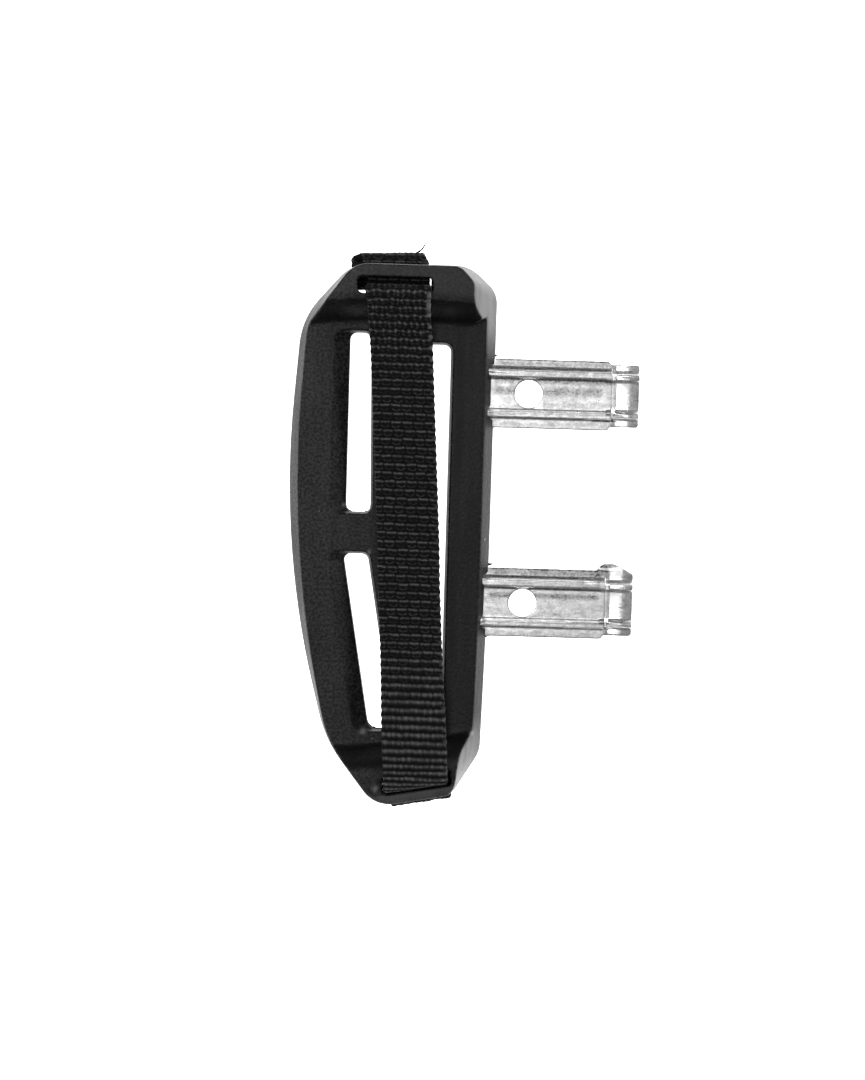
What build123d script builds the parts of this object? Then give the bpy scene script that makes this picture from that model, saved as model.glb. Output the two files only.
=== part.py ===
"""A release buckle half for a load-bearing harness, lying on its back: a moulded plastic frame with
webbing slots, two pressed steel tongues that stand out of its side, and a webbing pull strap that
runs from a slot in the raised top end to a slot in the raised bottom end.

While it is built, X runs from the frame's mating edge (x = 0) out along the tongues, Y runs up the
frame from its middle, and Z stands up from its back. At the end everything moves together, so that
the origin is the bottom centre of the bounding box. Millimetres.
"""

import os
from math import cos, radians, sin, tan

from build123d import *

# Frame: overall sizes and levels
frame_length = 108.0
frame_width = 40.45
flank_start = 1.9  # top of the upright band round the base
deck_height = 5.0
bridge_height = 9.6  # top of the raised ends that carry the strap
cut_over = 4.0  # how far a cut runs past whatever it opens

# Frame: the slots that the harness webbing threads through
slot_width = 4.9
upper_left_slot_width = 4.15  # at its top end
left_slot_reach = 4.68  # from the centre bar to the left side of the upper left slot
right_bar_width = 9.0
centre_bar_width = 10.55
crossbar_width = 8.6
crossbar_middle = -0.17  # above the frame's middle
lower_left_slot_shift = 0.33  # to the left of the upper left slot
left_slot_margin = 3.0  # between a slot's end and the foot of the ramp
right_slot_margin = 4.95
left_slot_bottom_margin = 2.3
right_slot_bottom_margin = 3.4
lower_slot_lean = 9.7  # degrees
slot_corner = 1.35
lower_slot_corner = 2.2
rim_depth = 1.5
rim_width = 0.55
left_rim_width = 3.1  # the wide slope of the left bar

# Frame: ramps between the deck and the raised ends
ramp_angle = 50.0  # degrees
ramp_arch = 150.0  # radius of the ramp's foot, seen from above
ramp_spread = 60.0  # degrees of that arch
ramp_foot_radius = 1.8
ramp_head_radius = 5.0
deck_reach = 78.0  # how far each ramp's cut clears the deck
top_end_length = 11.0  # from the ramp's foot to the frame's end
top_ramp_place = 0.457  # middle of the ramp's arch, share of the frame's width
bottom_end_length = 13.2
bottom_ramp_place = 0.398
bottom_ramp_lean = 8.0  # degrees
bottom_end_lean = 10.2  # degrees, of the bottom bar and its slot

# Pull strap
strap_width = 12.35
strap_thickness = 1.4
strap_gap = 0.2  # kept to whatever it passes
strap_lean = 3.55  # degrees
strap_place = 0.4125  # where it crosses the frame's middle, share of the frame's width
strap_sag = 2.9
strap_bend = 0.95  # smallest bend of its middle line
strap_crest = 0.4  # how much it arches over the edge of a raised end
strap_crest_bend = 1.8
top_slot_pass = -0.5  # from the middle of each slot to where the strap passes it
bottom_slot_pass = -0.55
top_fold_reach = 2.45  # how far its folded ends stand past the frame
bottom_fold_reach = 1.1
top_tail_length = 5.2  # length of the folded ends, behind the end bars
bottom_tail_length = 3.8
top_tail_skew = 2.8  # sideways

# Frame: the strap's slots, and the pockets behind the end bars
top_bar_width = 2.6
bottom_bar_width = 2.35
strap_slot_height = 3.4
top_slot_play = 2.6
bottom_slot_play = 1.6
top_slot_corner = 1.1
bottom_slot_corner = 0.6
top_slot_offset = -0.75  # of the slot's middle from the strap's
bottom_slot_offset = 0.1
top_pocket_reach = 1.6  # how far the pocket runs past the left end of the slot
pocket_height = 4.3
pocket_play = 0.25  # from the strap's right edge

# Tongues
tongue_pitch = 42.0
tongue_middle = 7.66  # between the two tongues, above the frame's middle
tongue_width = 13.7
tongue_length = 29.0
tongue_root = 6.5
sheet_thickness = 1.2
ledge_height = 1.7  # top of the sheet at its outer strips
ridge_height = 3.6
valley_height = 2.8
hole_diameter = 5.5
hole_setback = 6.8
neck_start = 23.4
neck_length = 2.4
tip_width = 0.93  # share of the tongue's width
tip_drop = 0.75  # of the ridges and the valley
flange_corner = 1.0
tip_corner = 0.5
socket_gap = 0.1
ear_end = 29.0  # of the lower tongue's side ear, along the tongue
ear_length = 7.6
ear_reach = 1.35
ear_root = 1.0  # how far it runs into the tongue
ear_corner = 1.2
ear_end_corner = 0.3

# The frame's outline at the top of its upright band, and at the top of its flanks, clockwise from
# the top right. Across is a share of the width, along a share of the length. Round is the share of
# the shorter neighbouring side that the corner's rounding takes up.
outline = [
    # base across, along, round, top across, along, round
    (-0.1430, 0.4970, 0.37, -0.1880, 0.4952, 0.32),
    (-0.0010, 0.4480, 0.28, -0.1170, 0.4664, 0.22),
    (-0.0040, -0.1300, 0.45, -0.1170, -0.1300, 0.45),
    (-0.0210, -0.4075, 0.20, -0.1275, -0.4090, 0.25),
    (-0.1240, -0.4705, 0.25, -0.1420, -0.4640, 0.30),
    (-0.1470, -0.4850, 0.40, -0.1700, -0.4815, 0.40),
    (-0.5500, -0.5105, 0.27, -0.5340, -0.5068, 0.26),
    (-0.7950, -0.3930, 0.34, -0.7750, -0.3895, 0.34),
    (-1.0480, -0.0250, 0.72, -0.9200, 0.0070, 0.72),
    (-0.9640, 0.3920, 0.34, -0.8760, 0.4080, 0.34),
    (-0.7180, 0.4970, 0.25, -0.7080, 0.4960, 0.26),
]

# A tongue's cross-section, from its middle outwards: where the upper and the lower side of the sheet
# turn, as shares of half its width, the level of the upper side, and the share of the tip's drop
# that the corner takes.
section = [
    # upper across, lower across, level, drop
    (0.43, 0.48, valley_height, 1.0),
    (0.55, 0.61, ridge_height, 1.0),
    (0.72, 0.65, ridge_height, 1.0),
    (0.81, 0.74, ledge_height, 0.3),
    (1.00, 1.00, ledge_height, 0.3),
]


def outline_corners(rows):
    """Corners (x, y, radius) of the frame from rows of shares."""
    points = [Vector(x * frame_width, y * frame_length) for x, y, _ in rows]
    corners = []
    for index, point in enumerate(points):
        before = point - points[index - 1]
        after = points[(index + 1) % len(points)] - point
        reach = rows[index][2] * min(before.length, after.length)
        half_turn = radians(before.get_angle(after)) / 2
        corners.append((point.X, point.Y, reach / tan(half_turn)))
    return corners


def rounded(corners):
    """A closed line through corners given as (x, y, radius)."""
    points = [(x, y) for x, y, _ in corners]
    return FilletPolyline(*points, radius=[r for _, _, r in corners], close=True)


def slot_corners(top_left, top_right, bottom_right, bottom_left, top, bottom, radii):
    """Corners (x, y, radius) of a deck slot, clockwise from its top left."""
    return [
        (top_left, top, radii[0]),
        (top_right, top, radii[0]),
        (bottom_right, bottom, radii[1]),
        (bottom_left, bottom, radii[1]),
    ]


def rim_corners(corners, left_margin):
    """A slot's corners moved out to where its sloping rim meets the deck."""
    (x1, y1, r1), (x2, y2, r2), (x3, y3, r3), (x4, y4, r4) = corners
    return [
        (x1 - left_margin, y1 + rim_width, r1 + rim_width),
        (x2 + rim_width, y2 + rim_width, r2 + rim_width),
        (x3 + rim_width, y3 - rim_width, r3 + rim_width),
        (x4 - left_margin, y4 - rim_width, r4 + rim_width),
    ]


def section_line(width, drop):
    """The closed line round a tongue's cross-section."""
    half = width / 2
    upper = [(half * out, level - drop * share) for out, _, level, share in section]
    lower = [
        (half * out, level - drop * share - sheet_thickness)
        for _, out, level, share in section
    ]
    right_side = upper + lower[::-1]
    left_side = [(-y, z) for y, z in reversed(right_side)]
    return Polyline(*right_side, *left_side, close=True)


base_outline = outline_corners([(row[0], row[1], row[2]) for row in outline])
top_outline = outline_corners([(row[3], row[4], row[5]) for row in outline])

crossbar_top = crossbar_middle + crossbar_width / 2
crossbar_bottom = crossbar_middle - crossbar_width / 2
centre_bar_right = -(right_bar_width + slot_width)
centre_bar_left = centre_bar_right - centre_bar_width
left_slot_left = centre_bar_left - left_slot_reach
frame_top = base_outline[0][1]
top_ramp_foot = frame_top - top_end_length
left_slot_top = top_ramp_foot - left_slot_margin
right_slot_top = top_ramp_foot - right_slot_margin
bottom_ramp_foot = base_outline[6][1] + bottom_end_length
left_slot_bottom = bottom_ramp_foot + left_slot_bottom_margin
right_slot_bottom = bottom_ramp_foot + right_slot_bottom_margin
lower_left_slot_left = left_slot_left - lower_left_slot_shift
lean_shift = (crossbar_bottom - left_slot_bottom) * tan(radians(lower_slot_lean))

upper_left_slot = slot_corners(
    left_slot_left,
    left_slot_left + upper_left_slot_width,
    left_slot_left + slot_width,
    left_slot_left,
    left_slot_top,
    crossbar_top,
    (slot_corner, slot_corner),
)
lower_left_slot = slot_corners(
    lower_left_slot_left,
    lower_left_slot_left + slot_width,
    lower_left_slot_left + slot_width + lean_shift,
    lower_left_slot_left + lean_shift,
    crossbar_bottom,
    left_slot_bottom,
    (slot_corner, lower_slot_corner),
)
right_slot = slot_corners(
    centre_bar_right,
    -right_bar_width,
    -right_bar_width,
    centre_bar_right,
    right_slot_top,
    right_slot_bottom,
    (slot_corner, lower_slot_corner),
)

# The strap's middle line as seen from above
strap_middle_point = Vector(-strap_place * frame_width, 0)
strap_up = Vector(0, 1).rotate(Axis.Z, strap_lean)
strap_right = Vector(1, 0).rotate(Axis.Z, strap_lean)


def on_strap(point, along, offset):
    """Where a line crosses the strap's middle line, once that is moved sideways by an offset."""
    aside = offset - (point - strap_middle_point).dot(strap_right)
    return point + along * (aside / along.dot(strap_right))


# The strap's slots: the middle of each, and the direction in which its bar lies
bottom_edge = Vector(*base_outline[5][:2])
bottom_along = Vector(1, 0).rotate(Axis.Z, bottom_end_lean)
bottom_across = Vector(0, 1).rotate(Axis.Z, bottom_end_lean)
top_bar_inside = Vector(0, frame_top - top_bar_width - strap_slot_height / 2)
bottom_bar_inside = bottom_edge + bottom_across * (bottom_bar_width + strap_slot_height / 2)
top_slot_centre = on_strap(top_bar_inside, Vector(1, 0), top_slot_offset)
bottom_slot_centre = on_strap(bottom_bar_inside, bottom_along, bottom_slot_offset)
top_slot_plane = Plane(top_slot_centre, x_dir=(1, 0, 0), z_dir=(0, 0, 1))
bottom_slot_plane = Plane(
    bottom_slot_centre, x_dir=bottom_along, z_dir=(0, 0, 1)
)
top_slot_width = strap_width + top_slot_play
bottom_slot_width = strap_width + bottom_slot_play
top_pocket_right = strap_width / 2 - top_slot_offset + pocket_play
top_pocket_left = -top_slot_width / 2 - top_pocket_reach
bottom_pocket_right = strap_width / 2 - bottom_slot_offset + pocket_play


def ramp_plane(place, foot, facing):
    """The upright plane through the axis of a ramp's arch, at the right end of the arch."""
    centre = Vector(-place * frame_width, foot) - facing * ramp_arch
    end = facing.rotate(Axis.Z, -ramp_spread / 2)
    return Plane(centre, x_dir=end, z_dir=(end.Y, -end.X, 0))


top_ramp = ramp_plane(top_ramp_place, top_ramp_foot, Vector(0, 1))
bottom_facing = Vector(0, -1).rotate(Axis.Z, bottom_ramp_lean)
bottom_ramp = ramp_plane(bottom_ramp_place, bottom_ramp_foot, bottom_facing)
ramp_run = (bridge_height - deck_height) / tan(radians(ramp_angle))
ramp_end = ramp_arch + ramp_run + top_end_length


def tongue_plane(along, middle):
    """The plane across a tongue, with its Y up."""
    return Plane((along, middle, 0), x_dir=(0, 1, 0), z_dir=(1, 0, 0))


tongue_middles = (tongue_middle + tongue_pitch / 2, tongue_middle - tongue_pitch / 2)

# Frame
with BuildPart() as frame:
    with BuildSketch() as band:
        with BuildLine():
            rounded(base_outline)
        make_face()
    extrude(amount=flank_start)

    with BuildSketch(Plane.XY.offset(flank_start)) as flank_foot:
        with BuildLine():
            rounded(base_outline)
        make_face()
    with BuildSketch(Plane.XY.offset(bridge_height)) as flank_head:
        with BuildLine():
            rounded(top_outline)
        make_face()
    loft(ruled=True)

    # The deck between the two ramps
    for ramp in (top_ramp, bottom_ramp):
        with BuildSketch(ramp) as ramp_side:
            with BuildLine():
                FilletPolyline(
                    (ramp_arch - deck_reach, deck_height),
                    (ramp_arch, deck_height),
                    (ramp_arch + ramp_run, bridge_height),
                    (ramp_end, bridge_height),
                    radius=[ramp_foot_radius, ramp_head_radius],
                )
                Polyline(
                    (ramp_end, bridge_height),
                    (ramp_end, bridge_height + cut_over),
                    (ramp_arch - deck_reach, bridge_height + cut_over),
                    (ramp_arch - deck_reach, deck_height),
                )
            make_face()
        revolve(axis=Axis(ramp.origin, (0, 0, 1)), revolution_arc=ramp_spread, mode=Mode.SUBTRACT)

    # Slots for the harness webbing, each with a sloping rim
    for corners, left_margin in (
        (upper_left_slot, left_rim_width),
        (lower_left_slot, left_rim_width),
        (right_slot, rim_width),
    ):
        with BuildSketch() as slot_outline:
            with BuildLine():
                rounded(corners)
            make_face()
        extrude(amount=bridge_height, mode=Mode.SUBTRACT)
        with BuildSketch(Plane.XY.offset(deck_height - rim_depth)) as rim_foot:
            with BuildLine():
                rounded(corners)
            make_face()
        with BuildSketch(Plane.XY.offset(deck_height)) as rim_head:
            with BuildLine():
                rounded(rim_corners(corners, left_margin))
            make_face()
        loft(ruled=True, mode=Mode.SUBTRACT)

    # The strap's slots, down to the pockets
    for plane, width, corner in (
        (top_slot_plane, top_slot_width, top_slot_corner),
        (bottom_slot_plane, bottom_slot_width, bottom_slot_corner),
    ):
        with BuildSketch(plane.offset(pocket_height)) as strap_slot:
            RectangleRounded(width, strap_slot_height, corner)
        extrude(amount=bridge_height, mode=Mode.SUBTRACT)

    # Pockets behind the end bars, open to the slots and to the ends
    with BuildSketch(top_slot_plane) as top_pocket:
        with Locations((top_pocket_right, -strap_slot_height / 2)):
            Rectangle(
                top_pocket_right - top_pocket_left,
                strap_slot_height + top_bar_width + cut_over,
                align=(Align.MAX, Align.MIN),
            )
    extrude(amount=pocket_height, mode=Mode.SUBTRACT)
    with BuildSketch(bottom_slot_plane) as bottom_pocket:
        with Locations((bottom_pocket_right, strap_slot_height / 2)):
            Rectangle(
                bottom_pocket_right + bottom_slot_width / 2,
                strap_slot_height + bottom_bar_width + cut_over,
                align=(Align.MAX, Align.MAX),
            )
    extrude(amount=pocket_height, mode=Mode.SUBTRACT)

    # Sockets that hold the tongues' roots
    for middle in tongue_middles:
        with BuildSketch(tongue_plane(-tongue_root - socket_gap, middle)) as socket:
            with BuildLine():
                section_line(tongue_width, 0)
            make_face()
            offset(amount=socket_gap, kind=Kind.INTERSECTION)
        extrude(amount=tongue_root + cut_over, mode=Mode.SUBTRACT)

# Tongues
with BuildPart() as upper_tongue:
    with BuildSketch(tongue_plane(-tongue_root, tongue_middles[0])) as blade:
        with BuildLine():
            section_line(tongue_width, 0)
        make_face()
    extrude(amount=tongue_root + neck_start)
    flange_ends = upper_tongue.edges().filter_by(Axis.Z).group_by(Axis.X)[-1]
    fillet(flange_ends, radius=flange_corner)

    # The stepped tip
    with BuildSketch(tongue_plane(neck_start - flange_corner, tongue_middles[0])) as neck_foot:
        with BuildLine():
            section_line(tongue_width * tip_width, 0)
        make_face()
    extrude(amount=flange_corner)
    with BuildSketch(tongue_plane(neck_start, tongue_middles[0])) as neck_back:
        with BuildLine():
            section_line(tongue_width * tip_width, 0)
        make_face()
    with BuildSketch(tongue_plane(neck_start + neck_length, tongue_middles[0])) as neck_front:
        with BuildLine():
            section_line(tongue_width * tip_width, tip_drop)
        make_face()
    loft(ruled=True)
    with BuildSketch(tongue_plane(neck_start + neck_length, tongue_middles[0])) as tip:
        with BuildLine():
            section_line(tongue_width * tip_width, tip_drop)
        make_face()
    extrude(amount=tongue_length - neck_start - neck_length)
    tip_ends = upper_tongue.edges().filter_by(Axis.Z).group_by(Axis.X)[-1]
    fillet(tip_ends, radius=tip_corner)

    with BuildSketch() as hole:
        with Locations((hole_setback, tongue_middles[0])):
            Circle(hole_diameter / 2)
    extrude(amount=bridge_height, mode=Mode.SUBTRACT)

with BuildPart() as lower_tongue:
    add(upper_tongue.part.moved(Location((0, -tongue_pitch, 0))))
    tip_side = tongue_middles[1] + tongue_width * tip_width / 2
    blade_side = tongue_middles[1] + tongue_width / 2
    with BuildSketch(Plane.XY.offset(ledge_height - sheet_thickness)) as ear:
        with BuildLine():
            FilletPolyline(
                (ear_end, tip_side - ear_root),
                (ear_end, tip_side),
                (ear_end - ear_length * 0.5, blade_side + ear_reach),
                (ear_end - ear_length * 0.8, blade_side + ear_reach),
                (ear_end - ear_length, blade_side),
                (ear_end - ear_length, blade_side - ear_root),
                radius=[0, ear_end_corner, ear_corner, ear_corner, ear_end_corner, 0],
                close=True,
            )
        make_face()
    extrude(amount=sheet_thickness * 0.8)

# Pull strap: levels of its middle line, and places along its own direction
tail_level = strap_gap + strap_thickness / 2
return_level = tail_level + 2 * strap_bend
top_level = bridge_height + strap_gap + strap_crest + strap_thickness / 2
strap_side_plane = Plane(
    strap_middle_point, x_dir=strap_up, z_dir=strap_right
)
top_rise = (top_slot_centre - strap_middle_point).dot(strap_up)
top_fold = top_rise + strap_slot_height / 2 + top_bar_width + top_fold_reach
top_twist = tan(radians(-strap_lean))
bottom_rise = (bottom_slot_centre - strap_middle_point).dot(strap_up)
bottom_fold = bottom_rise - strap_slot_height / 2 - bottom_bar_width - bottom_fold_reach
bottom_twist = tan(radians(bottom_end_lean - strap_lean))

with BuildPart() as webbing_strap:
    for side in (-strap_width / 2, strap_width / 2):
        top_turn = top_rise + top_slot_pass + side * top_twist
        top_end = top_fold + side * top_twist - strap_thickness / 2
        bottom_turn = bottom_rise + bottom_slot_pass + side * bottom_twist
        bottom_end = bottom_fold + side * bottom_twist + strap_thickness / 2
        sag_point = (top_turn + bottom_turn) / 2
        half_span = (top_turn - bottom_turn) / 2
        sag_radius = 0.93 * half_span**2 / (2 * strap_sag)
        with BuildSketch(strap_side_plane.offset(side)) as strap_side:
            with BuildLine() as strap_path:
                FilletPolyline(
                    (top_end - strap_bend - top_tail_length, tail_level),
                    (top_end, tail_level),
                    (top_end, return_level),
                    (top_turn, return_level),
                    (top_turn, top_level),
                    (sag_point, top_level - 2 * strap_sag),
                    (bottom_turn, top_level),
                    (bottom_turn, return_level),
                    (bottom_end, return_level),
                    (bottom_end, tail_level),
                    (bottom_end + strap_bend + bottom_tail_length, tail_level),
                    radius=[
                        strap_bend * 0.99,
                        strap_bend * 0.99,
                        strap_bend,
                        strap_crest_bend,
                        sag_radius,
                        strap_crest_bend,
                        strap_bend,
                        strap_bend * 0.99,
                        strap_bend * 0.99,
                    ],
                )
                offset(amount=strap_thickness / 2, side=Side.BOTH)
            make_face()
    loft(ruled=True)

    # The top tail stands out sideways from under the fold
    with BuildSketch(Plane.XY.offset(tail_level - strap_thickness / 2)) as top_tail:
        tail_root = top_fold - strap_thickness / 2 - strap_bend
        tail_side = strap_middle_point + strap_up * tail_root
        with Locations(tail_side - Vector(strap_width / 2, 0)):
            Rectangle(top_tail_skew * 2, top_tail_length, align=(Align.CENTER, Align.MAX))
    extrude(amount=strap_thickness)

# The origin moves to the bottom centre of the bounding box
pieces = (frame, upper_tongue, lower_tongue, webbing_strap)
whole = frame.part.bounding_box()
for piece in pieces:
    whole = whole.add(piece.part.bounding_box())
home = Location((-whole.center().X, -whole.center().Y, -whole.min.Z))
for piece in pieces:
    piece.part.move(home)

frame.part.label = "frame"
webbing_strap.part.label = "webbing_strap"
upper_tongue.part.label = "upper_tongue"
lower_tongue.part.label = "lower_tongue"

os.makedirs("parts", exist_ok=True)
export_step(frame.part, "parts/frame.step")
export_step(webbing_strap.part, "parts/webbing_strap.step")
export_step(upper_tongue.part, "parts/upper_tongue.step")
export_step(lower_tongue.part, "parts/lower_tongue.step")
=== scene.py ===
import math

import bpy
import numpy as np
from mathutils import Matrix, Vector


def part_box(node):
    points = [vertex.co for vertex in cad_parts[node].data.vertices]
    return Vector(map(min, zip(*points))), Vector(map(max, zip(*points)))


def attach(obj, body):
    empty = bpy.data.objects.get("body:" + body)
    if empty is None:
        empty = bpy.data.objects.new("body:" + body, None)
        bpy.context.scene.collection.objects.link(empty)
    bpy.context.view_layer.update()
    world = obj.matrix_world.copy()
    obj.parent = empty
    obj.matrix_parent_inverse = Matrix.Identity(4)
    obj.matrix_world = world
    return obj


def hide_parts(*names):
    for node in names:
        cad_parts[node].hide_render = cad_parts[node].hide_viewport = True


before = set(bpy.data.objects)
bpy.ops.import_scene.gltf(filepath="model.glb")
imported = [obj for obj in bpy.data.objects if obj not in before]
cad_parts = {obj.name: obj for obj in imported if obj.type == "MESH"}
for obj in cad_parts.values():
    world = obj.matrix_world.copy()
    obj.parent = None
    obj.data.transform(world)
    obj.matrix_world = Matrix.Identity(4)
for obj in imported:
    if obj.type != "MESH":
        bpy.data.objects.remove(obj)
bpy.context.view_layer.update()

rng = np.random.default_rng(7)

# Sizes and places below are in millimetres, in the part's own directions: across from the frame's
# mating edge, along from the middle of its length, and up from its back. The upper tongue's place
# in those directions is known, so its box gives where they start in the shared frame.
tongue_length = 29.0
tongue_half_width = 6.85
tongue_middles = {"upper_tongue": 28.66, "lower_tongue": -13.34}
upper_low, upper_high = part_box("upper_tongue")
home_across = upper_high[0] * 1000 - tongue_length
home_along = (upper_low[1] + upper_high[1]) * 500 - tongue_middles["upper_tongue"]
home = Vector((round(home_across, 3), round(home_along, 3), 0.0))


def place(across, along, up):
    """A point of the shared frame, in metres, from the part's own directions."""
    return (Vector((across, along, up)) + home) / 1000


# Camera
def add_camera():
    """A camera nearly straight above the part, turned a little as the photograph is."""
    turn = math.radians(1.65)
    tilt = math.radians(4.5)
    away = 0.65
    view_height = 0.216
    target = place(-11.61, -1.198, 5)
    image_up = Vector((-math.sin(turn), math.cos(turn), 0))
    overhead = Vector((0, 0, 1))
    eye = target + away * (math.cos(tilt) * overhead + math.sin(tilt) * image_up)
    forward = (target - eye).normalized()
    right = forward.cross(image_up).normalized()
    data = bpy.data.cameras.new("camera")
    data.sensor_fit = "VERTICAL"
    data.sensor_height = 36
    data.lens = data.sensor_height * away / view_height
    camera = bpy.data.objects.new("camera", data)
    bpy.context.scene.collection.objects.link(camera)
    facing = Matrix((right, right.cross(forward), -forward)).transposed()
    camera.matrix_world = Matrix.LocRotScale(eye, facing, None)
    bpy.context.scene.camera = camera
    bpy.context.scene.view_settings.view_transform = "Standard"


# Node helpers
def add(tree, kind, settings=None, **inputs):
    """A new node. Inputs go by the socket's name with _ for a space, or by in0, in1 for its number."""
    node = tree.nodes.new(kind)
    for name, value in (settings or {}).items():
        setattr(node, name, value)
    for name, value in inputs.items():
        key = int(name[2:]) if name[:2] == "in" and name[2:].isdigit() else name.replace("_", " ")
        socket = node.inputs[key]
        if isinstance(value, bpy.types.NodeSocket):
            tree.links.new(value, socket)
        else:
            socket.default_value = value
    return node


def calc(tree, operation, first, second=0.0):
    """The result of a Math node."""
    return add(tree, "ShaderNodeMath", {"operation": operation}, in0=first, in1=second).outputs[0]


def product(tree, first, second):
    """One number times another."""
    return calc(tree, "MULTIPLY", first, second)


def ramp(tree, factor, low, high, from_value=0.0, to_value=1.0):
    """A number that goes smoothly from one value to another as the factor passes from low to high."""
    node = add(
        tree,
        "ShaderNodeMapRange",
        {"interpolation_type": "SMOOTHSTEP"},
        Value=factor,
        From_Min=low,
        From_Max=high,
        To_Min=from_value,
        To_Max=to_value,
    )
    return node.outputs["Result"]


def mix(tree, factor, first, second):
    """A colour between two colours."""
    node = add(tree, "ShaderNodeMix", {"data_type": "RGBA"}, in0=factor, in6=first, in7=second)
    return node.outputs[2]


def noise(tree, vector, scale, detail=2.0, roughness=0.5):
    """A noise between about 0.2 and 0.8, with so many features per millimetre."""
    node = add(
        tree, "ShaderNodeTexNoise", Vector=vector, Scale=scale, Detail=detail, Roughness=roughness
    )
    return node.outputs["Fac"]


def drawn_out(tree, vector, shares):
    """Coordinates times a share in each direction, so that a pattern on them is drawn out."""
    node = add(tree, "ShaderNodeVectorMath", {"operation": "MULTIPLY"}, in0=vector, in1=shares)
    return node.outputs[0]


def attribute(tree, name):
    """A number that the mesh stores for each of its corners."""
    return add(tree, "ShaderNodeAttribute", {"attribute_name": name}).outputs["Fac"]


def grey(value):
    """An opaque grey."""
    return (value, value, value, 1.0)


def new_material(name):
    """A material, its tree, its shader, and object coordinates in millimetres."""
    material = bpy.data.materials.new(name)
    material.use_nodes = True
    tree = material.node_tree
    shader = tree.nodes["Principled BSDF"]
    metres = add(tree, "ShaderNodeTexCoord").outputs["Object"]
    scale = add(tree, "ShaderNodeVectorMath", {"operation": "SCALE"}, in0=metres, Scale=1000.0)
    return material, tree, shader, scale.outputs[0]


def bump(tree, shader, *layers):
    """Bumps one on another, each (height, depth in millimetres)."""
    normal = None
    for height, depth in layers:
        node = add(tree, "ShaderNodeBump", Height=height, Strength=1.0, Distance=depth / 1000)
        if normal is not None:
            tree.links.new(normal, node.inputs["Normal"])
        normal = node.outputs["Normal"]
    tree.links.new(normal, shader.inputs["Normal"])


# Materials
def floor_paper():
    """White paper that gives light of its own, so that it stays white round the part."""
    material, _, shader, _ = new_material("floor_paper")
    shader.inputs["Base Color"].default_value = grey(0.9)
    shader.inputs["Roughness"].default_value = 0.9
    shader.inputs["Emission Color"].default_value = grey(1.0)
    shader.inputs["Emission Strength"].default_value = 1.9
    return material


def moulded_plastic():
    """Near black plastic with a fine grain, painted light and shade, painted reflections and glints,
    and specks of dust.
    """
    material, tree, shader, spot = new_material("moulded_plastic")
    black, grain_top, reflection_grey, dust_and_glint_grey = grey(0.0008), grey(0.037), grey(0.21), grey(0.3)
    grain = noise(tree, spot, 1.8, 2.0, 0.7)
    cloud = noise(tree, spot, 0.13, 3.0, 0.6)
    sheen = noise(tree, drawn_out(tree, spot, (0.5, 0.05, 0.5)), 1.0, 2.0)

    # The grain shows more in clouds and hardly where the mesh is marked with painted shade, and it is
    # lighter to the left as painted light
    across = add(tree, "ShaderNodeSeparateXYZ", Vector=spot).outputs["X"]
    painted_light_leftward = ramp(tree, across, -34.0, 4.0, 1.0, 0.0)
    depth = product(tree, calc(tree, "ADD", painted_light_leftward, 0.38), ramp(tree, cloud, 0.3, 0.7, 0.6, 1.1))
    depth = product(tree, depth, ramp(tree, grain, 0.38, 0.64, 0.02, 1.0))
    depth = product(tree, depth, ramp(tree, attribute(tree, "painted_shade"), 0.0, 1.0, 1.0, 0.1))
    colour = mix(tree, depth, black, grain_top)

    # Painted reflections and highlights make places pale, in streaks
    painted_pale = product(tree, attribute(tree, "painted_pale"), ramp(tree, sheen, 0.35, 0.65, 0.6, 1.0))
    colour = mix(tree, painted_pale, colour, reflection_grey)

    # A few cells hold a speck of dust each, and the painted glints get the same pale grey
    cells = add(tree, "ShaderNodeTexVoronoi", Vector=spot, Scale=0.42)
    chance = add(tree, "ShaderNodeSeparateColor", Color=cells.outputs["Color"]).outputs[0]
    dusty = calc(tree, "GREATER_THAN", chance, 0.955)
    specks_and_glints = product(tree, dusty, ramp(tree, cells.outputs["Distance"], 0.03, 0.11, 1.0, 0.0))
    specks_and_glints = calc(tree, "MAXIMUM", specks_and_glints, attribute(tree, "painted_glints"))
    colour = mix(tree, specks_and_glints, colour, dust_and_glint_grey)

    tree.links.new(colour, shader.inputs["Base Color"])
    tree.links.new(ramp(tree, sheen, 0.3, 0.7, 0.40, 0.50), shader.inputs["Roughness"])
    shader.inputs["Specular IOR Level"].default_value = 0.30
    bump(tree, shader, (grain, 0.11))
    return material


def webbing_yarn():
    """Dark yarn, with painted highlights on the raised floats, which are also a little shinier."""
    material, tree, shader, spot = new_material("webbing_yarn")
    hidden_yarn, float_highlight_grey = grey(0.0015), grey(0.16)
    painted_float_highlights = attribute(tree, "painted_float_highlights")
    yarn = add(tree, "ShaderNodeUVMap", {"uv_map": "weave"}).outputs["UV"]
    twist = add(
        tree,
        "ShaderNodeTexWave",
        {"bands_direction": "DIAGONAL"},
        Vector=yarn,
        Scale=0.9,
        Distortion=3.0,
        Detail=2.0,
        Detail_Scale=1.5,
    ).outputs["Fac"]
    fuzz = noise(tree, spot, 7.0, 2.0)
    # The painted highlights lighten the raised floats' yarn
    lit = product(tree, painted_float_highlights, ramp(tree, fuzz, 0.25, 0.7, 0.5, 1.15))
    tree.links.new(mix(tree, lit, hidden_yarn, float_highlight_grey), shader.inputs["Base Color"])
    tree.links.new(ramp(tree, painted_float_highlights, 0.0, 1.0, 0.85, 0.55), shader.inputs["Roughness"])
    shader.inputs["Specular IOR Level"].default_value = 0.12
    bump(tree, shader, (twist, 0.06), (fuzz, 0.05))
    return material


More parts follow.
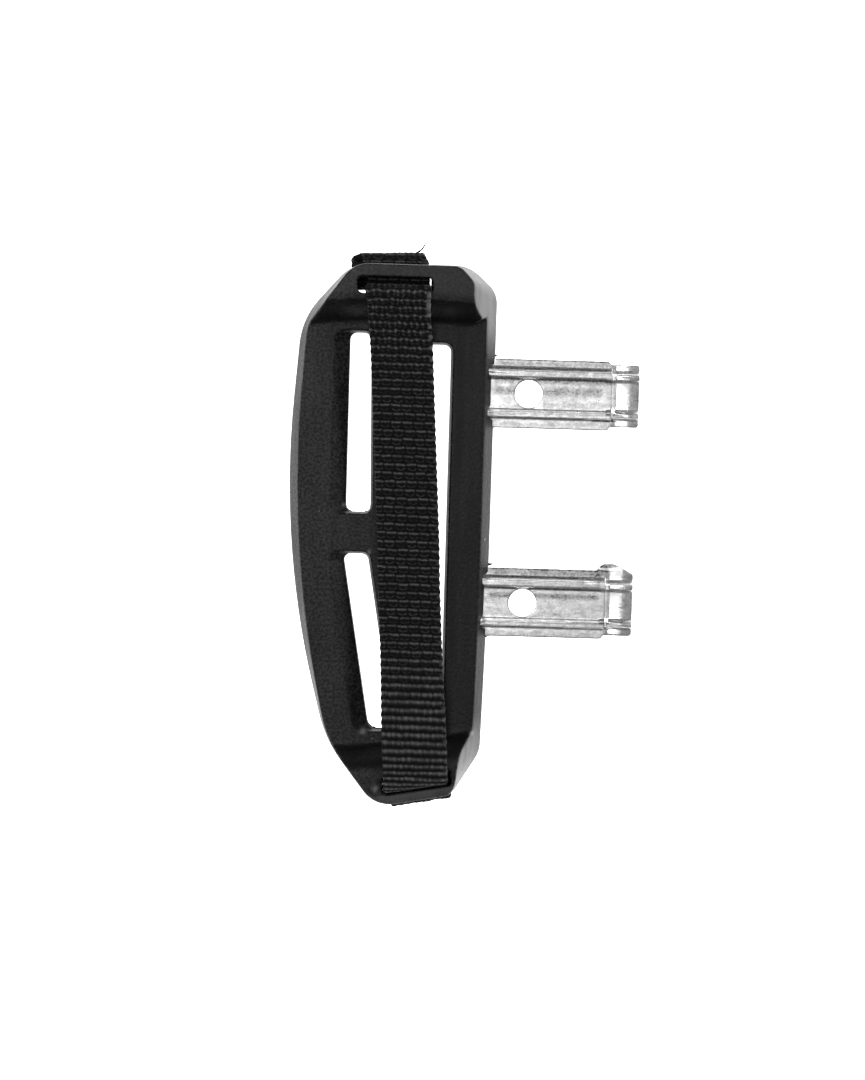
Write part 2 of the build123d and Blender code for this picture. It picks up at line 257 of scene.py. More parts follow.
def plated_steel():
    """Bright zinc plating with mottling drawn out along the tongue, painted shade and dark reflections
    with a scratch, and painted highlights.
    """
    material, tree, shader, spot = new_material("plated_steel")
    dull, bright, blotched, mottled = grey(0.66), grey(0.95), grey(0.55), grey(0.45)
    shade_and_scratch_grey, highlight_grey = grey(0.055), grey(0.97)
    streaks = noise(tree, drawn_out(tree, spot, (0.5, 1.0, 1.0)), 1.6, 4.0, 0.65)
    blotches = noise(tree, spot, 0.6, 4.0, 0.6)
    mottle = noise(tree, spot, 2.6, 3.0, 0.65)
    pits = noise(tree, spot, 6.0, 2.0)

    # The plating itself
    plating = mix(tree, ramp(tree, streaks, 0.35, 0.65), dull, bright)
    plating = mix(tree, ramp(tree, blotches, 0.5, 0.7, 0.0, 0.45), plating, blotched)
    plating = mix(tree, ramp(tree, mottle, 0.48, 0.66, 0.0, 0.5), plating, mottled)

    # The painted shade, dark reflections and scratch are broken up by the streaks and the mottling,
    # and the places with painted highlights are polished
    shade_and_scratch = product(tree, attribute(tree, "shade_and_scratch"), ramp(tree, streaks, 0.35, 0.62, 0.55, 1.15))
    shade_and_scratch = product(tree, shade_and_scratch, ramp(tree, mottle, 0.35, 0.65, 0.6, 1.15))
    highlight_and_polish = product(tree, attribute(tree, "highlight_and_polish"), ramp(tree, mottle, 0.3, 0.5, 0.75, 1.0))
    colour = mix(tree, highlight_and_polish, mix(tree, shade_and_scratch, plating, shade_and_scratch_grey), highlight_grey)
    roughness = ramp(tree, blotches, 0.3, 0.7, 0.30, 0.44)
    roughness = calc(tree, "SUBTRACT", roughness, product(tree, highlight_and_polish, 0.14))

    tree.links.new(colour, shader.inputs["Base Color"])
    tree.links.new(roughness, shader.inputs["Roughness"])
    shader.inputs["Metallic"].default_value = 1.0
    bump(tree, shader, (pits, 0.01), (streaks, 0.03))
    return material


# Floor and lights, in metres
def add_floor():
    """A plain floor that isn't part of the object."""
    bpy.ops.mesh.primitive_plane_add(size=6.0)
    floor = bpy.context.object
    floor.name = "floor"
    floor.data.materials.append(floor_paper())


def soft_light(name, position, size, power):
    """A rectangular light that faces the part."""
    data = bpy.data.lights.new(name, "AREA")
    data.shape = "RECTANGLE"
    data.size, data.size_y = size
    data.energy = power
    light = bpy.data.objects.new(name, data)
    bpy.context.scene.collection.objects.link(light)
    light.location = position
    light.rotation_euler = (-Vector(position)).to_track_quat("-Z", "Y").to_euler()


def add_studio():
    """Three soft lights and a dim white world."""
    soft_light("key_right", position=(0.9, 0.35, 0.45), size=(0.5, 0.5), power=5.0)
    soft_light("fill_left", position=(-0.9, -0.1, 0.6), size=(0.7, 0.7), power=1.5)
    soft_light("above", position=(-0.16, 0.12, 1.2), size=(0.5, 0.4), power=2.7)
    world = bpy.data.worlds.new("studio")
    world.use_nodes = True
    background = world.node_tree.nodes["Background"]
    background.inputs["Color"].default_value = grey(1.0)
    background.inputs["Strength"].default_value = 0.15
    bpy.context.scene.world = world


# Mesh helpers
def keep(name, mesh, material):
    """A new object with this mesh and material, smooth, on the part's body."""
    mesh.name = name
    mesh.materials.clear()
    mesh.materials.append(material)
    mesh.shade_smooth()
    piece = bpy.data.objects.new(name, mesh)
    bpy.context.scene.collection.objects.link(piece)
    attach(piece, "root")
    return piece


def softened(node_name, name, voxel, rounds, share):
    """A copy of a CAD node's mesh with its edges worn round, thinned to a share of its faces."""
    worker = bpy.data.objects.new(name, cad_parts[node_name].data.copy())
    bpy.context.scene.collection.objects.link(worker)
    remesh = worker.modifiers.new("remesh", "REMESH")
    remesh.mode = "VOXEL"
    remesh.voxel_size = voxel / 1000
    wear = worker.modifiers.new("wear", "SMOOTH")
    wear.factor = 0.5
    wear.iterations = rounds
    thin = worker.modifiers.new("thin", "DECIMATE")
    thin.ratio = share
    graph = bpy.context.evaluated_depsgraph_get()
    mesh = bpy.data.meshes.new_from_object(worker.evaluated_get(graph))
    bpy.data.objects.remove(worker)
    return mesh


def corners_of(mesh):
    """The mesh's vertices in the part's own directions, in millimetres."""
    values = np.empty(len(mesh.vertices) * 3)
    mesh.vertices.foreach_get("co", values)
    return values.reshape(-1, 3) * 1000 - np.array(home)


def facings_of(mesh):
    """The direction that each vertex faces."""
    values = np.empty(len(mesh.vertices) * 3)
    mesh.vertices.foreach_get("normal", values)
    return values.reshape(-1, 3)


def move_corners(mesh, corners):
    """Puts corners from corners_of back into the mesh."""
    mesh.vertices.foreach_set("co", ((corners + np.array(home)) / 1000).ravel())
    mesh.update()


def mark(mesh, name, values):
    """Stores a number for each corner, kept between 0 and 1, for a material to read."""
    data = mesh.attributes.new(name, "FLOAT", "POINT").data
    data.foreach_set("value", np.clip(values, 0, 1).ravel())


def smooth(low, high, value):
    """Goes smoothly from 0 to 1 as the value passes from low to high."""
    part = np.clip((value - low) / (high - low), 0, 1)
    return part * part * (3 - 2 * part)


def bell(value, middle, spread):
    """1 in the middle, falling off on both sides."""
    return np.exp(-(((value - middle) / spread) ** 2))


def flat_bell(value, middle, spread):
    """1 round the middle, falling off faster than a bell on both sides."""
    return np.exp(-(((value - middle) / spread) ** 4))


# Frame
deck_height = 5.0
bridge_height = 9.6
# Painted glints, small bright spots on the moulding: across, along, radius
painted_glints = [
    (-36.2, 45.8, 0.5),
    (-29.5, 5.3, 0.35),
    (-24.2, -4.0, 0.35),
    (-24.5, -40.1, 0.6),
    (-2.6, -39.9, 0.4),
    (-21.7, -50.9, 0.5),
]


def draw_slot_walls_back(corners, facing):
    """Slopes the slots' lower walls, which face up the frame, back under the deck."""
    slope = 0.17
    lip = 0.3
    across, along, up = corners.T
    below_deck = deck_height - lip - up
    at_slots = (across < -3) & (along > -45) & (along < 12)
    walls = at_slots & (below_deck > 0) & (facing[:, 1] > 0.3)
    corners[:, 1] -= np.where(walls, below_deck * slope, 0.0)


def painted_paleness(corners, facing):
    """How pale painted reflections and highlights make the moulding: on both ends' right bevels and
    bars, low on the left, and on the raised top.
    """
    across, along, up = corners.T
    rightward, upward = facing[:, 0], facing[:, 2]
    bevels = smooth(0.30, 0.60, rightward) * smooth(0.02, 0.20, upward) * smooth(0.3, 2.6, up)
    ends = smooth(35, 43, along) + smooth(-35, -44, along)
    painted_pale = bevels * ends * smooth(-16, -10, across)
    bottom_bar = (along - 0.18 * across < -48.6) & (up > 8.2) & (across > -27)
    painted_pale = painted_pale + np.where(bottom_bar, 0.30, 0.0)
    low_left = smooth(0.0, -0.2, rightward + facing[:, 1]) * smooth(-28, -38, along)
    low_left = low_left * smooth(0.05, 0.25, upward)
    low_left = low_left * smooth(-17, -22, across + 0.8 * (along + 53.5))
    painted_pale = painted_pale + 0.60 * low_left * np.clip((0.998 - upward) / 0.06, 0, 1)
    raised_top = (along > 45.5) & (up > bridge_height - 0.4) & (upward > 0.9)
    return painted_pale + np.where(raised_top, 0.13, 0.0)


def painted_shadiness(corners, facing):
    """How far painted shade hides the grain: on the ramps of both ends, and beside the right slot."""
    across, along, up = corners.T
    ramps = smooth(0.12, 0.45, np.abs(facing[:, 1])) * smooth(0.2, 0.4, facing[:, 2])
    ramps = ramps * smooth(4.4, 5.4, up) * smooth(bridge_height, 8.8, up) * (np.abs(along) > 30)
    beside_slot = smooth(-8.4, -7.6, across) * smooth(5.6, 5.3, up)
    beside_slot = beside_slot * smooth(48, 44, np.abs(along + 2))
    lip = beside_slot * smooth(-6.0, -6.9, across - 0.012 * (along + 2))
    return np.maximum(ramps, np.maximum(0.34 * beside_slot, lip))


def painted_glint_amount(corners, facing):
    """How bright the painted glints on the moulding are, in round spots on what faces up."""
    glinting = np.zeros(len(corners))
    for across, along, radius in painted_glints:
        far = np.hypot(corners[:, 0] - across, corners[:, 1] - along) / radius
        glinting += 0.9 * bell(far, 0, 1) * (facing[:, 2] > 0.2)
    return glinting


def add_frame(material):
    """The moulded frame, with its edges softened."""
    mesh = softened("frame", "frame_body", voxel=0.25, rounds=5, share=0.5)
    facing = facings_of(mesh)
    corners = corners_of(mesh)
    draw_slot_walls_back(corners, facing)
    move_corners(mesh, corners)
    # Painted shade on the ramps of both ends and beside the right slot
    mark(mesh, "painted_shade", painted_shadiness(corners, facing))
    # Painted glints at the slot corners and rims
    mark(mesh, "painted_glints", painted_glint_amount(corners, facing))
    # Painted reflections and highlights on the bevels, the bottom bar, low on the left and the raised
    # top
    mark(mesh, "painted_pale", painted_paleness(corners, facing))
    piece = keep("frame_body", mesh, material)
    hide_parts("frame")


# Tongues
neck_start = 23.4
# How the pressing changed the section: places across as shares of half the width, before and after
pressed_from = [-1.0, -0.81, -0.72, -0.55, -0.43, 0.0, 0.41, 0.55, 0.72, 0.81, 1.0]
pressed_to = [-1.05, -0.77, -0.70, -0.575, -0.465, -0.03, 0.38, 0.47, 0.655, 0.745, 0.975]
# How the step at the neck is shortened: places along the tongue, before and after
step_from = [-9.0, neck_start, 25.8, 28.8, 30.0]
step_to = [-9.0, neck_start, 24.2, 28.8, 30.0]
# How far the tip behind the step rises, and where
rise_places = [24.0, 26.8, tongue_length]
rises = [0.0, 0.22, 0.0]
# Bands of painted shade and dark reflection along each tongue: place across as a share of half
# the width, spread, depth, and from where to where they run along it
shade_bands = {
    "upper_tongue": [
        (0.965, 0.035, 1.00, 0, 23.5),
        (0.84, 0.080, 0.50, 0, 23.5),
        (0.70, 0.045, 0.85, 0, 23.6),
        (0.58, 0.060, 0.26, 1, 22.0),
        (0.36, 0.090, 0.62, 0, 24.0),
        (0.06, 0.135, 0.58, 0, 21.5),
        (-0.53, 0.014, 0.45, 0.5, 22.5),
        (-0.72, 0.022, 0.95, 0.5, 18.3),
        (-0.77, 0.030, 0.90, 19.6, 24.6),
        (-0.64, 0.030, 0.45, 0.3, 4.5),
        (-1.03, 0.025, 0.35, 0, 23.5),
    ],
    "lower_tongue": [
        (0.955, 0.035, 1.00, 0, 24.5),
        (0.84, 0.080, 0.60, 0, 22.5),
        (0.725, 0.030, 0.80, 0, 18.0),
        (0.60, 0.060, 0.16, 1, 17.0),
        (0.40, 0.030, 0.80, 0, 22.5),
        (0.19, 0.080, 0.70, 0, 22.0),
        (-0.54, 0.012, 0.35, 1.0, 15.0),
        (-0.565, 0.018, 0.90, 16.6, 23.8),
        (-0.73, 0.022, 0.90, 3.2, 15.3),
        (-1.03, 0.025, 0.35, 0, 23.5),
    ],
}
# Spots of painted shade, a scratch and painted highlights on each tongue: how far along it, place
# across as a share of half its width, half lengths in those two directions, and depth, which is
# less than nothing where a painted highlight makes the metal bright
shade_and_highlight_spots = {
    "upper_tongue": [
        (6.8, 0.43, 2.4, 0.045, 0.9),
        (27.8, 0.76, 1.3, 0.13, 0.35),
        (28.3, 0.02, 1.1, 0.30, 0.28),
        (28.6, -0.25, 0.7, 0.20, 0.22),
        (28.4, -0.88, 1.2, 0.11, 0.40),
        (25.2, 0.62, 1.1, 0.20, -1.2),
        (27.0, 0.50, 2.2, 0.09, -0.9),
        (25.0, -0.10, 1.0, 0.34, -1.2),
        (25.0, -0.46, 2.1, 0.11, -1.0),
        (25.3, -0.86, 1.0, 0.16, -0.9),
        (20.8, -0.17, 2.3, 0.06, -0.55),
        (19.0, 0.55, 0.4, 0.12, -0.8),
        (16.7, -0.52, 0.25, 0.06, -0.9),
        (19.1, -0.70, 0.35, 0.09, -0.7),
        (0.5, 0.56, 0.6, 0.10, -0.8),
        (0.4, -0.30, 0.5, 0.22, -0.8),
    ],
    "lower_tongue": [
        (6.8, 0.43, 2.4, 0.045, 0.9),
        (27.9, 0.78, 1.2, 0.14, 0.45),
        (28.4, 0.02, 1.0, 0.36, 0.28),
        (27.6, -0.84, 1.4, 0.11, 0.42),
        (23.5, 1.13, 2.0, 0.075, 1.6),
        (22.6, 0.85, 1.6, 0.09, 0.45),
        (25.0, 1.02, 2.6, 0.035, -0.9),
        (25.3, 0.62, 1.3, 0.20, -1.2),
        (27.3, 0.46, 1.8, 0.08, -0.9),
        (25.2, -0.12, 1.0, 0.34, -1.2),
        (25.2, -0.44, 2.2, 0.12, -1.0),
        (25.2, -0.82, 1.1, 0.18, -0.9),
        (20.6, 0.02, 2.2, 0.05, -0.55),
        (20.3, 0.65, 1.9, 0.14, 0.8),
        (20.3, 0.65, 1.2, 0.09, -1.7),
        (9.9, -0.34, 0.7, 0.015, 0.35),
        (11.6, -0.30, 1.2, 0.012, 0.45),
        (13.7, -0.35, 0.8, 0.022, 0.75),
        (0.4, 0.60, 0.6, 0.10, -0.8),
        (0.3, -0.45, 0.4, 0.12, -0.8),
    ],
}


def shares_across(corners, middle):
    """How far across its tongue each corner lies, as a share of half the width."""
    return (corners[:, 1] - middle) / tongue_half_width


def press(corners, middle):
    """Presses a tongue a little out of true where it stands out of the frame."""
    ahead = corners[:, 0].copy()
    out = shares_across(corners, middle)
    outside = smooth(-2.5, -0.6, ahead)
    moved = np.interp(out, pressed_from, pressed_to) - np.clip(out, -1, 1)
    corners[:, 1] += moved * tongue_half_width * outside
    # The lower ridge is flatter, up to the neck
    flattened = 0.62
    ridge = flat_bell(out, -0.635, 0.15) * outside * smooth(neck_start + 4, neck_start + 1, ahead)
    corners[:, 2] -= flattened * ridge
    # The step down to the tip is short, and the tip behind it rises a little and falls again
    shortened = np.interp(ahead, step_from, step_to)
    corners[:, 0] += (shortened - ahead) * smooth(1.02, 0.92, np.abs(out))
    corners[:, 2] += np.interp(corners[:, 0], rise_places, rises)


def shade_and_scratch_amount(node_name, corners, middle):
    """How far each corner is darkened by painted shade, dark reflections and a scratch, less than
    nothing where a painted highlight brightens it.
    """
    ahead = corners[:, 0]
    out = shares_across(corners, middle)
    shade_and_scratch = np.zeros(len(out))
    for centre, spread, depth, start, end in shade_bands[node_name]:
        runs = smooth(start - 0.3, start + 0.3, ahead) * smooth(end + 0.5, end - 0.5, ahead)
        shade_and_scratch += depth * flat_bell(out, centre, spread) * runs
    for reach, centre, half_length, half_share, depth in shade_and_highlight_spots[node_name]:
        far = ((ahead - reach) / half_length) ** 4 + ((out - centre) / half_share) ** 4
        shade_and_scratch += depth * np.exp(-far)
    return shade_and_scratch


def add_tongue(node_name, middle, material):
    """A pressed steel tongue, with its edges softened."""
    mesh = softened(node_name, node_name + "_blade", voxel=0.13, rounds=5, share=0.45)
    corners = corners_of(mesh)
    press(corners, middle)
    move_corners(mesh, corners)
    # Painted shade and dark reflections, with a scratch, darken the steel; painted highlights brighten
    # it
    shade_and_scratch = shade_and_scratch_amount(node_name, corners, middle)
    mark(mesh, "shade_and_scratch", shade_and_scratch)
    mark(mesh, "highlight_and_polish", -shade_and_scratch)
    piece = keep(node_name + "_blade", mesh, material)
    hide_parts(node_name)


# Pull strap: its sizes, and its route, which follows the CAD strap's but has a little more tail.
# Slots and folds are places along the strap, and levels are heights above the frame's back.
strap_width = 12.35
strap_thickness = 1.4
strap_lean = math.radians(3.55)
strap_middle = np.array((-16.686, 0.0))
strap_right = np.array((math.cos(strap_lean), math.sin(strap_lean)))
strap_up = np.array((-math.sin(strap_lean), math.cos(strap_lean)))
tail_level = 0.9
return_level = 2.8
top_level = 10.9
strap_sag = 2.9
top_fold = 56.267
top_slot = 49.517 - 0.5
top_twist = math.tan(-strap_lean)
bottom_slot = -49.727 - 0.55
bottom_fold = -54.877
bottom_twist = math.tan(math.radians(10.2) - strap_lean)
top_tail_length = 5.3
bottom_tail_length = 4.4
bend = 0.95
fold_bend = bend * 0.99
crest_bend = 1.8


def strap_runs(side):
    """The strap's middle line at a distance to one side, as runs (start, end, centre or None)."""
    over = top_slot + side * top_twist
    start = top_fold + side * top_twist - strap_thickness / 2
    under = bottom_slot + side * bottom_twist
    end = bottom_fold + side * bottom_twist + strap_thickness / 2
    sag_radius = 0.93 * ((over - under) / 2) ** 2 / (2 * strap_sag)
    points = [
        (start - bend - top_tail_length, tail_level),
        (start, tail_level),
        (start, return_level),
        (over, return_level),
        (over, top_level),
        ((over + under) / 2, top_level - 2 * strap_sag),
        (under, top_level),
        (under, return_level),
        (end, return_level),
        (end, tail_level),
        (end + bend + bottom_tail_length, tail_level),
    ]
    top_radii = [fold_bend, fold_bend, bend, crest_bend]
    radii = top_radii + [sag_radius] + top_radii[::-1]
    points = [np.array(point) for point in points]
    runs = []
    start = points[0]
    for back, corner, on, radius in zip(points, points[1:], points[2:], radii):
        towards = (back - corner) / np.linalg.norm(back - corner)
        away = (on - corner) / np.linalg.norm(on - corner)
        half = math.acos(np.clip(towards @ away, -1, 1)) / 2
        middle = (towards + away) / np.linalg.norm(towards + away)
        first = corner + towards * radius / math.tan(half)
        last = corner + away * radius / math.tan(half)
        runs.append((start, first, None))
        runs.append((first, last, corner + middle * radius / math.sin(half)))
        start = last
    runs.append((start, points[-1], None))
    return runs


def along_run(run, shares):
    """Points, directions and the length of a run, at shares of it."""
    first, last, centre = run
    if centre is None:
        step = last - first
        length = np.linalg.norm(step)
        return first + step * shares[:, None], np.tile(step / length, (len(shares), 1)), length
    arm = first - centre
    other = last - centre
    turn = math.atan2(arm[0] * other[1] - arm[1] * other[0], arm @ other)
    cosines = np.cos(turn * shares)
    sines = np.sin(turn * shares)
    spun = np.stack((arm[0] * cosines - arm[1] * sines, arm[0] * sines + arm[1] * cosines), axis=1)
    directions = np.stack((-spun[:, 1], spun[:, 0]), axis=1) * np.sign(turn)
    directions /= np.linalg.norm(arm)
    return centre + spun, directions, abs(turn) * np.linalg.norm(arm)


def strap_line(side, counts):
    """Points, directions and distances along the strap's middle line."""
    points = []
    directions = []
    distances = []
    travelled = 0.0
    for run, count in zip(strap_runs(side), counts):
        shares = np.arange(count) / count
        where, which_way, length = along_run(run, shares)
        points.append(where)
        directions.append(which_way)
        distances.append(travelled + length * shares)
        travelled += length
    return np.concatenate(points), np.concatenate(directions), np.concatenate(distances)


def strap_sides():
    """The lines of the strap's two edges, with finer steps over the face than at the folds."""
    face_runs = range(7, 14)
    lengths = [along_run(run, np.zeros(1))[2] for run in strap_runs(0.0)]
    steps = [0.13 if index in face_runs else 0.2 for index in range(len(lengths))]
    counts = [max(3, round(length / step)) for length, step in zip(lengths, steps)]
    return [strap_line(side, counts) for side in (-strap_width / 2, strap_width / 2)]


def strap_columns():
    """Each column round the strap: across, and how far out of its middle plane as a share."""
    edge = 0.35
    half_flat = strap_width / 2 - edge
    face = [(part * half_flat, 1.0) for part in np.linspace(-1, 1, 75)]
    back = [(part * half_flat, -1.0) for part in np.linspace(1, -1, 13)]
    right = [(half_flat + edge * reach, out) for reach, out in ((0.75, 0.66), (1, 0.0), (0.75, -0.66))]
    left = [(-across, -out) for across, out in right]
    return np.array(face + right + back + left).T


def between(first, second):
    """A quantity at each row and column, from its values along the left and right edges."""
    share = (column_across / strap_width + 0.5)[None, :]
    if first.ndim == 2:
        return first[:, None, :] * (1 - share[:, :, None]) + second[:, None, :] * share[:, :, None]
    return first[:, None] * (1 - share) + second[:, None] * share


# The strap's grids: a row for each step along it, and a column for each place round it
column_across, column_out = strap_columns()
middle_line, direction, distance = [between(*pair) for pair in zip(*strap_sides())]
direction /= np.linalg.norm(direction, axis=2, keepdims=True)
outward = np.stack((direction[:, :, 1], -direction[:, :, 0]), axis=2)
along = middle_line[:, :, 0]
level = middle_line[:, :, 1]
on_face = level > 7.0
low_end = smooth(-16, -38, along) * on_face
high_end = smooth(26, 40, along) * on_face


# Pull strap: its weave
def rib_places():
    """Which rib each place lies on and how far through it, as one number."""
    # The ribs lie closer where the strap goes over an end bar, most of all at the bottom
    pitch_places = [-49.6, -47.6, -44, 0, 38, 48]
    pitches = [0.85, 1.2, 1.62, 1.72, 1.66, 1.45]
    folded_pitch = 1.2
    pitch = np.where(on_face, np.interp(along, pitch_places, pitches), folded_pitch)
    step = np.diff(distance, axis=0, prepend=distance[:1])
    rib = np.cumsum(step / pitch, axis=0)
    # They sway a little across the strap, each in its own way, and more near the top
    most_ribs = 200
    turns = np.interp(rib, np.arange(most_ribs), rng.uniform(0, 6.3, most_ribs))
    sway = 0.05 * np.sin(2.3 * column_across + turns) + 0.04 * np.sin(5.3 * column_across + 2 * turns)
    return rib + sway * (0.4 + 0.8 * high_end)


def float_places(rib_number):
    """How far across its float each place lies, and six chances for each float."""
    float_width = 2.2
    floats_to_middle = 8.0
    most_floats = 24
    # The floats are set off a little in every other rib
    shift = np.where(rib_number % 2 == 0, 0.0, 0.5)
    where = (column_across[None, :] + shift) / float_width + floats_to_middle
    number = np.floor(where).astype(int)
    chances = rng.uniform(0, 1, (6, rib_number.max() + 2, most_floats))
    mine = chances[:, np.clip(rib_number, 0, None), np.clip(number, 0, most_floats - 1)]
    return where - number, mine


def weave(rib):
    """How far each rib stands out as a share, and how much painted highlight its yarn gets."""
    rib_number = np.floor(rib).astype(int)
    rib_part = rib - rib_number
    float_part, chances = float_places(rib_number)
    notch_place, some, eye_place, brightness, strength, tilt = chances

    # Each float is a brow with a notch here and there, parted from the floats beside it, which shows
    # less near the strap's ends
    parting = smooth(0.02, 0.13, np.minimum(float_part, 1 - float_part))
    parting = parting + (1 - parting) * (0.65 * low_end + 0.55 * high_end)
    notch = 1 - 0.55 * bell(float_part, 0.25 + 0.5 * notch_place, 0.05) * (some > 0.35)
    brow_place = 0.28 + 0.10 * high_end + 0.12 * low_end
    brow_place = brow_place + 0.08 * (some - 0.5) + 0.16 * (float_part - 0.5) * (tilt - 0.5)
    brow = bell(rib_part, brow_place, 0.12 + 0.13 * low_end + 0.01 * high_end)

    # Below the brow a lash of yarn goes round a dark hollow
    eye = np.hypot((float_part - 0.42 - 0.16 * eye_place) / 0.30, (rib_part - 0.72) / 0.19)
    lash = bell(eye, 1.0, 0.24) * smooth(0.62, 0.76, rib_part)
    lash = lash * (1 - 0.8 * low_end) * (1 - 0.4 * high_end)
    hollow = bell(eye, 0.0, 0.65) * (1 - 0.8 * low_end)

    # The rib sinks to a groove on both sides
    groove = smooth(0.0, 0.16, rib_part) * smooth(1.0, 0.90, rib_part)
    height = groove * (0.45 + 0.45 * brow * parting * notch + 0.20 * lash - 0.25 * hollow)
    height = height * (0.9 + 0.2 * brightness)

    # The painted highlight is strongest on the brows, and in small knots near the strap's ends
    light = brow**1.4 * parting * notch * (0.55 + 0.45 * strength) * (1.0 + 0.30 * low_end)
    light = light + 0.36 * lash * parting * (0.3 + brightness)
    light = (light + 0.045 + 0.03 * high_end) * smooth(0.0, 0.12, rib_part)
    knots = bell(np.sin(column_across[None, :] * 5.6 + 5 * tilt), 1.0, 0.7)
    light = light * (1 - high_end + high_end * (0.45 + 1.1 * knots))
    light = light * (1 - low_end + low_end * (0.60 + 0.5 * knots))
    return height, light


def painted_edge_highlights(light, rib):
    """The yarn's painted highlight, with two painted highlight lines at the lower fold and on the
    loops of the right edge.
    """
    past_fold = along - (bottom_slot + column_across[None, :] * bottom_twist)
    light = light + 0.45 * (bell(past_fold, -0.45, 0.13) + bell(past_fold, 0.05, 0.13)) * on_face
    selvage = smooth(5.35, 5.6, column_across[None, :]) * on_face
    loops = 0.55 * bell(np.sin(np.pi * rib * 1.5), 1.0, 0.6) * (0.5 + high_end)
    light = light * (1 - 0.5 * selvage) + selvage * loops
    # A painted highlight on the edge near the top
    patch = smooth(5.2, 5.5, column_across[None, :]) * bell(along, 45.4, 1.5) * on_face
    return light + 0.85 * patch


# Pull strap: its shape
def strap_out(rib, height):
    """How far each place stands out of the strap's middle plane."""
    core = 0.42
    rib_height = 0.36
    crest = np.clip(0.5 - 0.5 * np.cos(2 * np.pi * (rib - np.floor(rib))), 0, 1)
    face = core + rib_height * height
    back = -(core + rib_height * (crest * 0.7) * 0.6)
    edges = column_out * 0.5
    facing_out = column_out[None, :] > 0.9
    facing_in = column_out[None, :] < -0.9
    return np.where(facing_out, face, np.where(facing_in, back, edges))


def strap_across(rib):
    """How far across each place lies, with a small loop of yarn at each rib's ends."""
    base = column_across[None, :]
    loops = 0.07 * np.cos(2 * np.pi * rib) * (np.abs(column_out[None, :]) < 0.9)
    across = base * (1 + 2 * loops / strap_width)
    # The left side flares below the top slot
    flare = 0.45 * bell(along, 48.4, 2.0) * (base < 0) * on_face
    across = across + flare * base / (strap_width / 2)
    # The upper half lies a little to the right, and the lower end is a little wider
    across = across + 0.18 * smooth(-12, 0, along) * smooth(44, 36, along) * on_face
    return across * (1 + 0.05 * smooth(-22, -42, along))


def lay_folds(across):
    """Moves the fold at the top over to the left and the one at the bottom to the right.

    The result is how far across each place then lies, and how far along it has moved.
    """
    behind = level < 5.0
    top_tail = smooth(2.6, 1.3, level) * (along > 40)
    leftmost = smooth(4, -6, column_across)[None, :]
    rightmost = smooth(-2, 6.2, column_across)[None, :]
    right_edge = smooth(3, 6, column_across)[None, :]
    # At the top the tail leans to the left, the right edge bulges where it goes into the slot, and
    # the fold's right end is drawn in while its left end spreads
    across = across - 2.4 * top_tail * leftmost
    across = across + 0.4 * right_edge * bell(along, 48.6, 1.6) * on_face
    across = across - 1.45 * rightmost * smooth(53.2, 57.0, along) * behind
    across = across - 0.8 * leftmost * behind * smooth(53.0, 54.5, along)
    # At the bottom the left edge spreads by the slot, and the fold lies to the right in two steps
    across = across - 0.55 * leftmost * behind * smooth(-53.0, -50.0, along) * (along < -40)
    across = across + 0.6 * smooth(-50.2, -53.0, along) * behind
    across = across + 0.6 * smooth(-53.6, -54.4, along) * behind
    return across, -0.9 * top_tail * leftmost


def tube_faces(rows, ring):
    """The faces of a closed tube of rows, each a ring of corners: its quads and its two caps."""
    row_start = np.arange(rows - 1)[:, None] * ring
    here = np.arange(ring)[None, :]
    beside = (here + 1) % ring
    around = (row_start + here, row_start + beside, row_start + ring + beside, row_start + ring + here)
    quads = np.stack(around, axis=2).reshape(-1, 4)
    return quads.tolist() + [list(range(ring))[::-1], list(range((rows - 1) * ring, rows * ring))]


def add_strap(material):
    """The pull strap: ribbed webbing through both end slots, folded behind the end bars."""
    rib = rib_places()
    height, light = weave(rib)
    across, moved_along = lay_folds(strap_across(rib))
    stands = middle_line + outward * strap_out(rib, height)[:, :, None]
    stands[:, :, 0] += moved_along
    flat_place = (
        strap_middle[None, None, :]
        + strap_right[None, None, :] * across[:, :, None]
        + strap_up[None, None, :] * stands[:, :, :1]
    )
    corners = np.concatenate((flat_place, stands[:, :, 1:]), axis=2)
    rows, ring = corners.shape[:2]
    points = (corners.reshape(-1, 3) + np.array(home)) / 1000
    mesh = bpy.data.meshes.new("webbing_pull_strap")
    mesh.from_pydata(points.tolist(), [], tube_faces(rows, ring))
    # Painted highlights on the floats, the lower fold and the right edge
    mark(mesh, "painted_float_highlights", painted_edge_highlights(light, rib))

    # The yarn's twist follows the strap, so its pattern is laid out across and along the webbing
    layer = mesh.uv_layers.new(name="weave")
    loop_corner = np.empty(len(mesh.loops), dtype=int)
    mesh.loops.foreach_get("vertex_index", loop_corner)
    flat = np.stack((np.broadcast_to(column_across[None, :], rib.shape), distance), axis=2)
    layer.data.foreach_set("uv", flat.reshape(-1, 2)[loop_corner].ravel())

    piece = keep("webbing_pull_strap", mesh, material)
    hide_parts("webbing_strap")


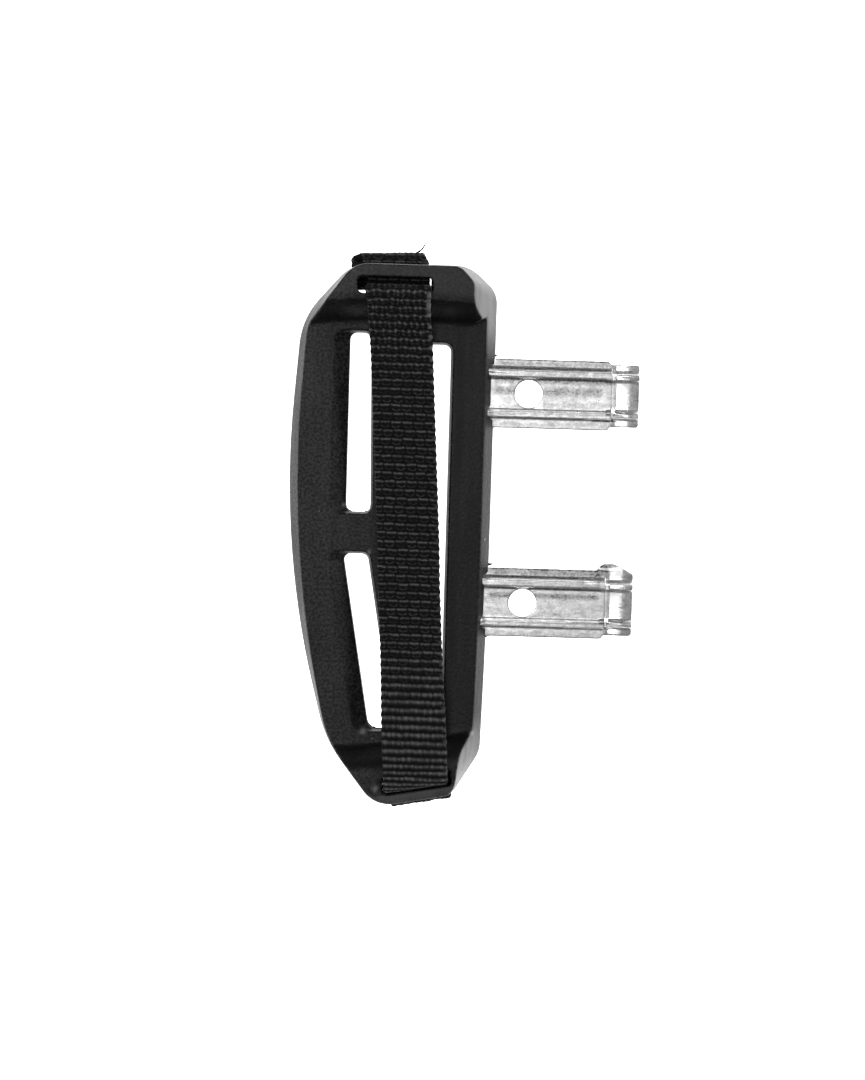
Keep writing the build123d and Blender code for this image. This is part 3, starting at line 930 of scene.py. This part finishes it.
# Loose thread and moulding flash
def tapered_tube(name, points, radii, material, sides):
    """A closed tube along points, with a radius at each."""
    rings = []
    for index, point in enumerate(points):
        next_point = points[min(index + 1, len(points) - 1)]
        course = (next_point - points[max(index - 1, 0)]).normalized()
        first = course.orthogonal().normalized()
        second = course.cross(first)
        turns = [2 * math.pi * step / sides for step in range(sides)]
        rings += [
            point + (math.cos(turn) * first + math.sin(turn) * second) * float(radii[index])
            for turn in turns
        ]
    mesh = bpy.data.meshes.new(name)
    mesh.from_pydata([place(*point) for point in rings], [], tube_faces(len(points), sides))
    return keep(name, mesh, material)


def add_thread(material):
    """A loose thread that stands out of the fold at the top of the strap."""
    start = Vector((-16.4, 55.9, 2.9))
    course = Vector((1.7, 2.0, 0.7))
    bow = Vector((0.25, -0.15, 0.1))
    count = 12
    points = [
        start + course * share + bow * math.sin(math.pi * share) for share in np.linspace(0, 1, count)
    ]
    radii = np.linspace(0.20, 0.10, count)
    thread = tapered_tube("loose_thread", points, radii, material, sides=7)


def add_flash(material):
    """Slivers of moulding flash where the tongues' edges come out of the frame."""
    across, up = 0.05, 1.1
    sunk = 0.6
    taper = np.array([1.0, 0.9, 0.72, 0.5, 0.28, 0.06])
    # Each sliver: along the frame, how long it is there, and how far it reaches out
    slivers = [(35.75, 0.8, 0.35), (21.45, 1.0, 0.30), (-6.15, 0.7, 0.9), (-20.55, 0.8, 0.8)]
    for number, (along_frame, length, reach) in enumerate(slivers, 1):
        heel = Vector((across - sunk, along_frame, up))
        course = Vector((reach + sunk, 0.35 * length, 0.15))
        points = [heel + course * share for share in np.linspace(0, 1, len(taper))]
        name = f"moulding_flash_{number}"
        sliver = tapered_tube(name, points, length * 0.5 * taper, material, sides=9)


add_camera()
add_floor()
add_studio()
plastic = moulded_plastic()
webbing = webbing_yarn()
add_frame(plastic)
steel = plated_steel()
for tongue_name, tongue_middle in tongue_middles.items():
    add_tongue(tongue_name, tongue_middle, steel)
add_strap(webbing)
add_thread(webbing)
add_flash(plastic)
